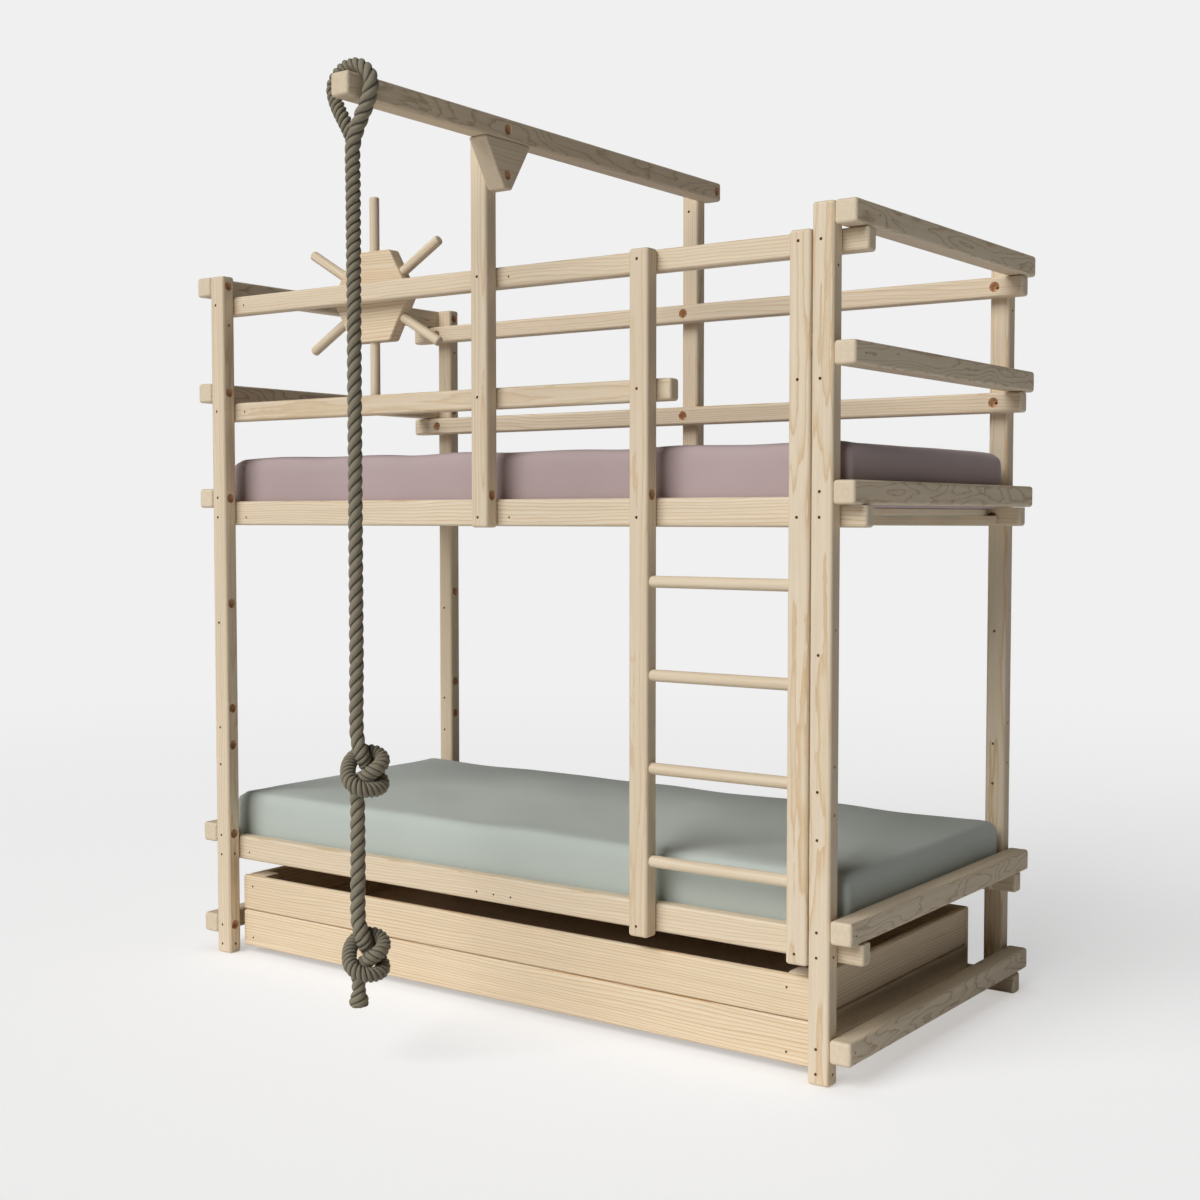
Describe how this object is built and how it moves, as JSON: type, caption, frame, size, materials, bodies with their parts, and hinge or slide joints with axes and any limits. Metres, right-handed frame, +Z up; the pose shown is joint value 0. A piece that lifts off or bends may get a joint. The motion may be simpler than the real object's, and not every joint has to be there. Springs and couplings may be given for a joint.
{
  "type": "bunk bed with ladder, swing beam and bed box",
  "caption": "Pine post-and-rail bunk bed with two mattresses, a ladder, a swing beam with knotted climbing rope, a spoked play wheel and a roll-out bed box.",
  "frame": {"origin": "middle of the base of the whole bed with its swing beam, on the floor, the rope left out", "axes": "+X along the bed towards its ladder end, +Y towards the wall side, +Z up"},
  "size_m": [2.24, 1.6522, 2.4049],
  "materials": {
    "pine": "oiled solid pine",
    "pine_inside": "bare board in the shade",
    "cloth_upper": "matte woven cover, greyish rose",
    "cloth_lower": "matte woven cover, greyish green",
    "rope_fibre": "rough laid natural fibre",
    "steel": "zinc plated",
    "wheel_plastic": "dark hard plastic"
  },
  "bodies": {
    "frame": {"post_front_left": "pine", "post_rear_left": "pine", "post_front_right": "pine", "post_rear_right": "pine", "swing_post_front": "pine", "swing_post_rear": "pine", "ladder_rail_left": "pine", "ladder_rail_right": "pine", "ladder_rung_1": "pine", "ladder_rung_2": "pine", "ladder_rung_3": "pine", "ladder_rung_4": "pine", "left_end_rail_top": "pine", "left_end_rail_guard": "pine", "left_end_rail_upper": "pine", "left_end_rail_lower": "pine", "left_end_rail_floor": "pine", "right_end_rail_top": "pine", "right_end_rail_guard": "pine", "right_end_rail_upper": "pine", "right_end_rail_lower": "pine", "right_end_rail_floor": "pine", "front_guard_rail_top": "pine", "front_guard_rail_mid": "pine", "front_bed_rail_upper": "pine", "front_bed_rail_lower": "pine", "rear_guard_rail_top": "pine", "rear_guard_rail_mid": "pine", "rear_bed_rail_upper": "pine", "rear_bed_rail_lower": "pine", "rear_floor_rail": "pine", "swing_beam": "pine", "swing_gusset": "pine", "upper_slat_mat": "pine", "lower_slat_mat": "pine", "upper_mattress": "cloth_upper", "lower_mattress": "cloth_lower", "wheel_axle_bolt": "steel"},
    "steering_wheel": {"wheel_hub": "pine", "wheel_spoke_1": "pine", "wheel_spoke_2": "pine", "wheel_spoke_3": "pine", "wheel_spoke_4": "pine", "wheel_spoke_5": "pine", "wheel_spoke_6": "pine"},
    "rope": {"climbing_rope": "rope_fibre"},
    "bed_box": {"box_front_upper_board": "pine", "box_front_lower_board": "pine", "box_left_upper_board": "pine", "box_left_lower_board": "pine", "box_right_upper_board": "pine", "box_right_lower_board": "pine", "box_back_board": "pine", "box_floor": "pine_inside", "box_corner_block_left": "pine", "box_corner_block_right": "pine"},
    "box_roller_1": {"box_wheel_1": "wheel_plastic"},
    "box_roller_2": {"box_wheel_2": "wheel_plastic"},
    "box_roller_3": {"box_wheel_3": "wheel_plastic"},
    "box_roller_4": {"box_wheel_4": "wheel_plastic"}
  },
  "joints": [
    {"name": "bed_box_slide", "type": "slide", "parent": "frame", "child": "bed_box", "axis": [0, -1, 0], "range_m": [0, 0.45]},
    {"name": "wheel_turn", "type": "hinge", "parent": "frame", "child": "steering_wheel", "pos_m": [-0.472, -0.143, 1.953], "axis": [0, 1, 0], "continuous": true},
    {"name": "rope_swing", "type": "hinge", "parent": "frame", "child": "rope", "pos_m": [0.0608, -0.7753, 2.3355], "axis": [0, 1, 0], "range_deg": [-30, 30]},
    {"name": "box_roller_turn_1", "type": "hinge", "parent": "bed_box", "child": "box_roller_1", "pos_m": [-0.946, -0.117, 0.035], "axis": [1, 0, 0], "continuous": true},
    {"name": "box_roller_turn_2", "type": "hinge", "parent": "bed_box", "child": "box_roller_2", "pos_m": [0.956, -0.117, 0.035], "axis": [1, 0, 0], "continuous": true},
    {"name": "box_roller_turn_3", "type": "hinge", "parent": "bed_box", "child": "box_roller_3", "pos_m": [-0.946, 0.613, 0.035], "axis": [1, 0, 0], "continuous": true},
    {"name": "box_roller_turn_4", "type": "hinge", "parent": "bed_box", "child": "box_roller_4", "pos_m": [0.956, 0.613, 0.035], "axis": [1, 0, 0], "continuous": true}
  ],
  "couplings": [
    {"joint": "box_roller_turn_1", "follows": "bed_box_slide", "rad_per_m": 28.571},
    {"joint": "box_roller_turn_2", "follows": "bed_box_slide", "rad_per_m": 28.571},
    {"joint": "box_roller_turn_3", "follows": "bed_box_slide", "rad_per_m": 28.571},
    {"joint": "box_roller_turn_4", "follows": "bed_box_slide", "rad_per_m": 28.571}
  ]
}
